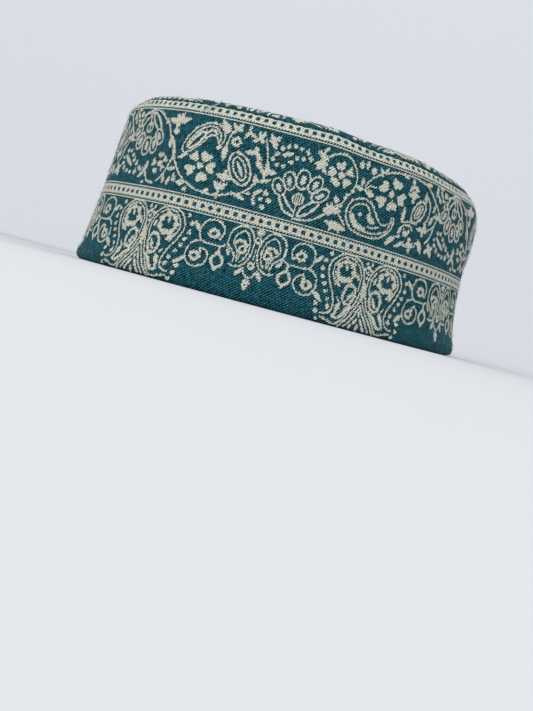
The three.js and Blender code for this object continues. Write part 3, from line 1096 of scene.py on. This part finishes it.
def wool_group():
    """Uneven dye and stray fibres of wool: slow patches, short flecks and fine fibres."""
    inputs = {"Thread": VECTOR, "Patch size": FLOAT, "Fleck size": FLOAT}
    tree, given, result = group("wool_unevenness", inputs, ["Patch", "Fleck", "Fibre"])
    slow = math(tree, "DIVIDE", 1.0, given["Patch size"])
    quick = math(tree, "DIVIDE", 1.0, given["Fleck size"])
    tree.links.new(node(tree, "TexNoise", given["Thread"], slow, *PATCH_DETAIL), result["Patch"])
    tree.links.new(node(tree, "TexNoise", given["Thread"], quick, *FLECK_DETAIL), result["Fleck"])
    tree.links.new(node(tree, "TexNoise", given["Thread"], *FIBRE_NOISE), result["Fibre"])
    return tree


twill = weave_group()
wool = wool_group()


def material(name):
    """A new material, with the place on the cloth in millimetres."""
    made = bpy.data.materials.new(name)
    made.use_nodes = True
    tree = made.node_tree
    thread = node(tree, "UVMap", uv_map="cloth")
    thread = node(tree, "VectorMath", thread, (UV_SPAN, UV_SPAN, UV_SPAN), operation="MULTIPLY")
    return made, tree, tree.nodes["Principled BSDF"], thread


def placed(tree, made_group, thread, **values):
    used = tree.nodes.new("ShaderNodeGroup")
    used.node_tree = made_group
    tree.links.new(thread, used.inputs["Thread"])
    for socket, value in values.items():
        used.inputs[socket.replace("_", " ").capitalize()].default_value = value
    return used.outputs


def soft_surface(shader, tint, weight):
    """The soft shine of cloth at a low angle."""
    shader.inputs["Specular IOR Level"].default_value = WOOL_SPECULAR
    shader.inputs["Sheen Weight"].default_value = weight
    shader.inputs["Sheen Roughness"].default_value = WOOL_SHEEN_ROUGHNESS
    shader.inputs["Sheen Tint"].default_value = tint


def finish_surface(tree, shader, colour, roughness, height, relief):
    """Joins a surface to its shader, with its relief in millimetres."""
    tree.links.new(colour, shader.inputs["Base Color"])
    tree.links.new(roughness, shader.inputs["Roughness"])
    bump = tree.nodes.new("ShaderNodeBump")
    bump.inputs["Strength"].default_value = 1
    bump.inputs["Distance"].default_value = relief * MM
    tree.links.new(height, bump.inputs["Height"])
    tree.links.new(bump.outputs[0], shader.inputs["Normal"])


# Teal twill: a start, and shares of rib, streak of dye and mottle in how dark the teal is
# The rib's share is painted shade between the ribs, the streak's and mottle's uneven dye. Crests get a
# painted highlight
DYE_AND_SHADE_START = -0.63
RIB_GROOVE_SHADE = 0.95
DYE_STREAK = 0.6
DYE_MOTTLE = 0.75
CREST_HIGHLIGHT_SHARE = 1.05
TEAL_ROUGH = 0.76
TEAL_ROUGH_FIBRE = 0.16
TEAL_FIBRE_RELIEF = 0.35


def teal_twill():
    """Painted shade between the ribs, uneven dye along them, and a painted highlight on their crests."""
    made, tree, shader, thread = material("teal_wool_twill")
    ribs = placed(tree, twill, thread, rib_pitch=RIB_PITCH, strand_pitch=1.9, waver=1.2)
    uneven = placed(tree, wool, thread, patch_size=26.0, fleck_size=2.6)
    dye = mixed(tree, stretched(tree, uneven["Fleck"], low=0.35, high=0.65), TEAL_GREEN, TEAL_BLUE)
    streak = stretched(tree, ribs["Streak"], low=0.3, high=0.7)
    mottle = stretched(tree, uneven["Fleck"], low=0.3, high=0.7)
    # Painted shade between the ribs, mixed with streaks and mottle of uneven dye
    dye_and_groove_shade = weighted(tree, DYE_AND_SHADE_START, (ribs["Height"], RIB_GROOVE_SHADE), (streak, DYE_STREAK), (mottle, DYE_MOTTLE))
    # Painted highlight on the rib crests
    teal_crest_highlight = product(tree, ribs["Height"], streak, CREST_HIGHLIGHT_SHARE)
    colour = mixed(tree, teal_crest_highlight, mixed(tree, dye_and_groove_shade, TEAL_SHADE_AND_DARK_DYE, dye), TEAL_CREST_HIGHLIGHT)
    roughness = weighted(tree, TEAL_ROUGH, (uneven["Fibre"], TEAL_ROUGH_FIBRE))
    height = weighted(tree, ribs["Height"], (uneven["Fibre"], TEAL_FIBRE_RELIEF))
    finish_surface(tree, shader, colour, roughness, height, relief=0.24)
    soft_surface(shader, TEAL_SHEEN, weight=0.09)
    return made


# Cream yarn: shares of grain and rib in how light it is, and in its relief
# The rib's share paints shade between the strands, and the bright share a painted highlight on their crests
CREAM_GRAIN = 0.72
CREAM_RIB = 0.44
CREAM_HIGHLIGHT_SHARE = 0.9
CREAM_ROUGH = 0.68
CREAM_ROUGH_FIBRE = 0.2
CREAM_RELIEF_SHARE = 0.6


def cream_figuring():
    """Soft cream yarn, now warm, now cool: teal ground and painted shade between strands, painted highlight
    on crests.
    """
    made, tree, shader, thread = material("cream_figuring_yarn")
    ribs = placed(tree, twill, thread, rib_pitch=RIB_PITCH, strand_pitch=1.3, waver=2.0)
    uneven = placed(tree, wool, thread, patch_size=18.0, fleck_size=0.6)
    tint = mixed(tree, stretched(tree, ribs["Streak"], low=0.4, high=0.6), CREAM_WARM, CREAM_COOL)
    grain = stretched(tree, uneven["Fleck"], low=0.32, high=0.56)
    # Darker between the strands: the teal ground showing through, and painted shade
    lit = weighted(tree, 0.0, (grain, CREAM_GRAIN), (ribs["Height"], CREAM_RIB))
    # Painted highlight on the crests of the ribs
    cream_crest_highlight = product(tree, grain, ribs["Height"], CREAM_HIGHLIGHT_SHARE)
    colour = mixed(tree, cream_crest_highlight, mixed(tree, lit, CREAM_SHADE, tint), CREAM_CREST_HIGHLIGHT)
    roughness = weighted(tree, CREAM_ROUGH, (uneven["Fibre"], CREAM_ROUGH_FIBRE))
    height = weighted(tree, 0.0, (ribs["Height"], CREAM_RELIEF_SHARE), (grain, CREAM_RELIEF_SHARE))
    finish_surface(tree, shader, colour, roughness, height, relief=0.2)
    soft_surface(shader, CREAM_SHEEN, weight=0.2)
    return made


FIBRE_ROUGH = 0.8


def fuzz_fibre():
    """Loose wool: some fibres dark, some pale."""
    made, tree, shader, thread = material("loose_wool_fibre")
    uneven = placed(tree, wool, thread, patch_size=6.0, fleck_size=2.0)
    share = stretched(tree, uneven["Patch"], low=0.35, high=0.65)
    tree.links.new(mixed(tree, share, FIBRE_DARK, FIBRE_PALE), shader.inputs["Base Color"])
    shader.inputs["Roughness"].default_value = FIBRE_ROUGH
    soft_surface(shader, FIBRE_SHEEN, weight=0.3)
    return made


# Lining: pitch of its threads, and shares of thread and patch in its colour: the thread's is painted shade
COTTON_PITCH = 0.62
COTTON_WEAVE_SHADE = 0.5
COTTON_PATCH = 0.5
COTTON_ROUGH = 0.7
COTTON_ROUGH_FLECK = 0.2


def lining_cotton():
    """Plain weave: threads over and under each other, with painted shade where they dip."""
    made, tree, shader, thread = material("brown_cotton_lining")
    uneven = placed(tree, wool, thread, patch_size=22.0, fleck_size=0.9)
    over, under = (wave(tree, part, COTTON_PITCH) for part in split(tree, thread))
    height = math(tree, "MULTIPLY", over, under)
    # Painted shade where the threads dip under each other, mixed with patches of uneven colour
    share = weighted(tree, 0.0, (height, COTTON_WEAVE_SHADE), (uneven["Patch"], COTTON_PATCH))
    colour = mixed(tree, share, LINING_DARK, LINING_LIGHT)
    roughness = weighted(tree, COTTON_ROUGH, (uneven["Fleck"], COTTON_ROUGH_FLECK))
    finish_surface(tree, shader, colour, roughness, height, relief=0.12)
    soft_surface(shader, LINING_SHEEN, weight=0.1)
    return made


teal_cloth = teal_twill()
cream_yarn = cream_figuring()
wool_fibre = fuzz_fibre()
brown_cotton = lining_cotton()

# Cloth of the cap
finish_piece("side_band_cloth", turned_section(as_rings(wall_section), WALL_STEPS), ring_place, ring_thread,
             teal_cloth, ["side_band"])
finish_piece("turned_in_hem_cloth", turned_section(as_rings(hem_section), HEM_STEPS), ring_place, ring_thread,
             teal_cloth, ["turned_in_hem"])
finish_piece("crown_top_cloth", turned_section(crown_section, CROWN_STEPS, closed=False), panel_place,
             panel_thread, teal_cloth, ["crown_top"])
finish_piece("lining_cloth_inside", turned_section(lining_section, LINING_STEPS, closed=False), panel_place,
             panel_thread, brown_cotton, ["lining"])

# Woven figures. Columns of thread fill the wall's round evenly, and stop short of the seam at the back
WALL_COLUMNS = round(ROUND / (THREAD * CLOTH_PER_CHART))
THREAD_UP = THREAD * CLOTH_PER_CHART
THREAD_ALONG = ROUND / WALL_COLUMNS
WALL_THREADS_UP = int(SEAM_ROW / THREAD_UP)
SEAM_COLUMNS = 3

# The crown is cut straight from the same cloth, so its bands run across it and don't meet the wall's
CROWN_HALF = 92
CROWN_SIDE_SHIFT = 31
CROWN_ROW_SHIFT = 121
CLOTH_REPEAT = 79.5
CROWN_FIGURE_EDGE = SEAM_REACH - 1.4


def weave_wall():
    """Two zones of figures and two borders, each in two lengths that meet at the front."""
    along = (np.arange(WALL_COLUMNS) + 0.5) * THREAD_ALONG - ROUND / 2
    up = (np.arange(WALL_THREADS_UP) + 0.5) * THREAD_UP
    zones = figures_at(*np.meshgrid(along / CLOTH_PER_CHART, up / CLOTH_PER_CHART))
    half = WALL_COLUMNS // 2
    pitch = (THREAD_ALONG, THREAD_UP)
    for zone, cells in zip(("lower_figures", "upper_figures", "lower_border", "upper_border"), zones):
        cells[:, :SEAM_COLUMNS] = False
        cells[:, -SEAM_COLUMNS:] = False
        used = np.flatnonzero(cells.any(1))
        low = used[0]
        cells = cells[low:used[-1] + 1]
        if "figures" in zone:
            cells = bound_by_twill(cells)
        for side, start, part in (("_left", 0, cells[:, :half]), ("_right", half, cells[:, half:])):
            corner = (start * THREAD_ALONG - ROUND / 2, low * THREAD_UP)
            raised_figures(zone + side, part, corner, pitch, straight_place)


def weave_crown():
    count = round(2 * CROWN_HALF / THREAD_UP)
    across = (np.arange(count) + 0.5) * THREAD_UP - CROWN_HALF
    x, y = np.meshgrid(across, across)
    s = (x + CROWN_SIDE_SHIFT) / CLOTH_PER_CHART
    z = (y + CROWN_ROW_SHIFT) / CLOTH_PER_CHART % CLOTH_REPEAT
    lower, upper, low_border, high_border = figures_at(s, z)
    inside = crown_place(x, y, 0 * x)[1] < CROWN_FIGURE_EDGE
    cells = (bound_by_twill(lower | upper) | low_border | high_border) & inside
    middle = count // 2
    for side, start, part in (("front", 0, cells[:middle]), ("back", middle, cells[middle:])):
        corner = (-CROWN_HALF, start * THREAD_UP - CROWN_HALF)
        raised_figures("crown_figures_" + side, part, corner, (THREAD_UP, THREAD_UP), crown_flat_place)


weave_wall()
weave_crown()

# Loose fibres that stand off the wool: one is made, doubled again and again, and each is bent onto the cap.
# Its direction is read over the share FIBRE_LOOK to both sides of a place
FIBRE_DOUBLINGS = 13
FIBRE_STEP = 4
FIBRE_SIDES = 3
FIBRE_PARTS = 2
FIBRE_RADIUS = 0.05
FIBRE_TIP = 0.4
FIBRE_SHORTEST = 0.9
FIBRE_LONGEST = 3
FIBRE_CURL = 1.6
FIBRE_RISE = 1.6
FIBRE_RISE_POWER = 1.6
FIBRE_BOW = 0.6
FIBRE_ROOT = 0.12
FIBRE_RIM_CLEAR = 3
FIBRE_LOOK = 0.05
NEAREST_RADIUS = 12
FURTHEST_RADIUS = 92
CROWN_SHARE = 0.2
fibre_count = 2 ** FIBRE_DOUBLINGS
on_crown = draws.random(fibre_count) < CROWN_SHARE
fibre_reach = np.where(on_crown, SEAM_REACH * np.sqrt(draws.random(fibre_count)),
                       draws.uniform(SEAM_REACH, RIM_REACH - FIBRE_RIM_CLEAR, fibre_count))
fibre_turn = turn_at(draws.uniform(-ROUND / 2, ROUND / 2, fibre_count))
fibre_heading = draws.uniform(0, 2 * np.pi, fibre_count)
fibre_curl = draws.uniform(-FIBRE_CURL, FIBRE_CURL, fibre_count)
fibre_length = draws.uniform(FIBRE_SHORTEST, FIBRE_LONGEST, fibre_count)
fibre_rise = FIBRE_RISE * draws.random(fibre_count) ** FIBRE_RISE_POWER


def fibre_point(index, along, lift=0):
    """A place on the middle line of a fibre, from its root at 0 to its tip at 1."""
    heading = fibre_heading[index] + fibre_curl[index] * along / 2
    gone = fibre_length[index] * along
    reach = fibre_reach[index]
    radius = np.clip(reach * RIM_HALF_LENGTH / SHOULDER_REACH, NEAREST_RADIUS, FURTHEST_RADIUS)
    angle = fibre_turn[index] + gone * np.cos(heading) / radius
    height = fibre_rise[index] * along * (1 + FIBRE_BOW * (1 - along)) - FIBRE_ROOT
    return reach_place(angle, reach + gone * np.sin(heading), -height - lift)


def fibre_index(flat):
    return np.round(flat[:, 0] / FIBRE_STEP).astype(int)


def fibre_place(flat):
    index = fibre_index(flat)
    along = flat[:, 2] + 0.5
    middle = fibre_point(index, along)
    ahead = unit(fibre_point(index, along + FIBRE_LOOK) - fibre_point(index, along - FIBRE_LOOK))
    out = fibre_point(index, along, 1) - middle
    out = unit(out - (out * ahead).sum(1)[:, None] * ahead)
    thick = (flat[:, 0] - index * FIBRE_STEP)[:, None] * out + flat[:, 1:2] * np.cross(ahead, out)
    return middle + FIBRE_RADIUS * thick


def fibre_thread(flat):
    index = fibre_index(flat)
    return np.stack([length_at(fibre_turn[index]), fibre_reach[index] + flat[:, 2]], -1)


def fibres():
    bm = strand(FIBRE_SIDES, FIBRE_TIP, FIBRE_PARTS)
    for doubling in range(FIBRE_DOUBLINGS):
        copied = bmesh.ops.duplicate(bm, geom=bm.verts[:] + bm.edges[:] + bm.faces[:])["geom"]
        moved = [part for part in copied if isinstance(part, bmesh.types.BMVert)]
        bmesh.ops.translate(bm, verts=moved, vec=(FIBRE_STEP * 2 ** doubling, 0, 0))
    return bm


finish_piece("loose_wool_fibres", fibres(), fibre_place, fibre_thread, wool_fibre)

# One thread's end has worked out of the upper border and lies over the crown seam. Its start and end are
# length of thread from the front and row of cloth
STRAY_START = np.array([30.5, 74.6])
STRAY_END = np.array([39, 79.4])
STRAY_LENGTH = 9
STRAY_BOW = 0.9
STRAY_LIFT = 0.6
STRAY_LIFT_PACE = 1.4
STRAY_SPRING = 3.2
STRAY_RADIUS = 0.22
STRAY_TIP = 0.6
STRAY_SIDES = 8
STRAY_PARTS = 16
STRAY_LOOK = 0.02


def stray_point(along):
    """Lies a little above the cloth, and its tip springs up."""
    length, row = STRAY_START[:, None] + (STRAY_END - STRAY_START)[:, None] * along
    row = row + STRAY_BOW * np.sin(np.pi * along)
    lift = STRAY_LIFT * np.sin(np.pi * np.clip(along * STRAY_LIFT_PACE, 0, 0.5)) + STRAY_SPRING * along ** 3
    return wall_place(length, row, -lift)


def stray_place(flat):
    along = flat[:, 2] + 0.5
    ahead = unit(stray_point(along + STRAY_LOOK) - stray_point(along - STRAY_LOOK))
    side = unit(np.cross(ahead, [0, 0, 1]))
    out = np.cross(side, ahead)
    return stray_point(along) + STRAY_RADIUS * (flat[:, :1] * side - flat[:, 1:2] * out)


def stray_thread(flat):
    return np.stack([STRAY_START[0] + STRAY_LENGTH * flat[:, 2], STRAY_START[1] + flat[:, 0]], -1)


finish_piece("stray_thread_end", strand(STRAY_SIDES, STRAY_TIP, STRAY_PARTS), stray_place, stray_thread,
             cream_yarn)

# Floor in metres, that curves up into a pale backdrop all round, out of the way of every view
FLOOR_FLAT = 2.2
FLOOR_CURVE = 1.6
FLOOR_CURVE_POINTS = 16
FLOOR_STEPS = 96
FLOOR_COLOUR = (0.63, 0.64, 0.66, 1)
GLOW_COLOUR = (0.93, 0.96, 1, 1)
GLOW_START = 0.5
GLOW_FULL = 2.6
GLOW = 0.4


def floor_paint():
    """Pale paint that is lit up further out, so that floor and backdrop run into one."""
    paint = bpy.data.materials.new("pale_floor")
    paint.use_nodes = True
    tree = paint.node_tree
    shader = tree.nodes["Principled BSDF"]
    shader.inputs["Base Color"].default_value = FLOOR_COLOUR
    shader.inputs["Roughness"].default_value = 1
    shader.inputs["Specular IOR Level"].default_value = 0
    shader.inputs["Emission Color"].default_value = GLOW_COLOUR
    place = tree.nodes.new("ShaderNodeTexCoord").outputs["Object"]
    out = node(tree, "VectorMath", place, operation="LENGTH")
    share = node(tree, "MapRange", out, GLOW_START, GLOW_FULL, 0.0, 1.0, interpolation_type="SMOOTHSTEP")
    tree.links.new(math(tree, "MULTIPLY", share, GLOW), shader.inputs["Emission Strength"])
    return paint


def studio_floor():
    turns = np.radians(np.linspace(0, 90, FLOOR_CURVE_POINTS))
    curve = [(FLOOR_FLAT + FLOOR_CURVE * np.sin(t), FLOOR_CURVE * (np.cos(t) - 1)) for t in turns]
    bm = turned_section([(0, 0)] + curve, FLOOR_STEPS, closed=False)
    shown("studio_floor", as_mesh("studio_floor", bm, floor_paint()))


studio_floor()

# Camera: just above the floor, where the photograph's view of the cap is met best. Millimetres and degrees,
# but for the near and far limits, which are metres
CAMERA_DISTANCE = 520
CAMERA_HEIGHT = 3
CAMERA_ROUND = 50.77
CAMERA_YAW = -0.814
CAMERA_PITCH = 2.919
CAMERA_ROLL = 14.93
CAMERA_LENS = 51.64
CAMERA_SENSOR = 36
CAMERA_NEAR = 0.001
CAMERA_FAR = 50


def camera():
    data = bpy.data.cameras.new("camera")
    data.lens = CAMERA_LENS
    data.sensor_width = CAMERA_SENSOR
    data.clip_start = CAMERA_NEAR
    data.clip_end = CAMERA_FAR
    made = shown("camera", data)
    bpy.context.scene.camera = made
    stand, look, tip, roll = np.radians([CAMERA_ROUND, CAMERA_ROUND + CAMERA_YAW, CAMERA_PITCH, CAMERA_ROLL])
    back = Vector((np.sin(look) * np.cos(tip), -np.cos(look) * np.cos(tip), np.sin(tip)))
    right = Vector((np.cos(look), np.sin(look), 0))
    up = back.cross(right)
    x = np.cos(roll) * right + np.sin(roll) * up
    y = np.cos(roll) * up - np.sin(roll) * right
    turned = Matrix((x, y, back)).transposed().to_4x4()
    at = Vector((np.sin(stand) * CAMERA_DISTANCE, -np.cos(stand) * CAMERA_DISTANCE, CAMERA_HEIGHT)) * MM
    made.matrix_world = Matrix.Translation(at) @ turned


camera()

# Lights: turn from the front and rise above the floor in degrees, distance and size in metres, power in watts
Light = namedtuple("Light", "name turn rise away size power colour")
LIGHTS = [
    Light("window", 22, 42, 1.3, 1.0, 9.6, (1, 0.985, 0.96)),
    Light("fill", 110, 22, 1.5, 1.2, 3, (0.94, 0.97, 1)),
    Light("top", 60, 82, 1.4, 1.0, 3.4, (1, 1, 1)),
    Light("behind", 200, 32, 1.5, 1.2, 5, (0.96, 0.98, 1)),
    Light("behind_left", 275, 28, 1.5, 1.2, 1.4, (0.96, 0.98, 1)),
]
AIR_COLOUR = (0.8, 0.84, 0.9, 1)
AIR_LIGHT = 0.45


def lamp(row):
    data = bpy.data.lights.new(row.name, "AREA")
    data.shape = "DISK"
    data.size = row.size
    data.energy = row.power
    data.color = row.colour
    made = shown(row.name, data)
    turn, rise = np.radians([row.turn, row.rise])
    away = Vector((np.sin(turn) * np.cos(rise), -np.cos(turn) * np.cos(rise), np.sin(rise)))
    made.location = away * row.away
    made.rotation_mode = "QUATERNION"
    made.rotation_quaternion = away.to_track_quat("Z", "Y")


def soft_air():
    """Even light from all round."""
    world = bpy.data.worlds.new("studio")
    world.use_nodes = True
    background = world.node_tree.nodes["Background"].inputs
    background["Color"].default_value = AIR_COLOUR
    background["Strength"].default_value = AIR_LIGHT
    bpy.context.scene.world = world


for row in LIGHTS:
    lamp(row)
soft_air()
bpy.context.scene.view_settings.view_transform = "Standard"
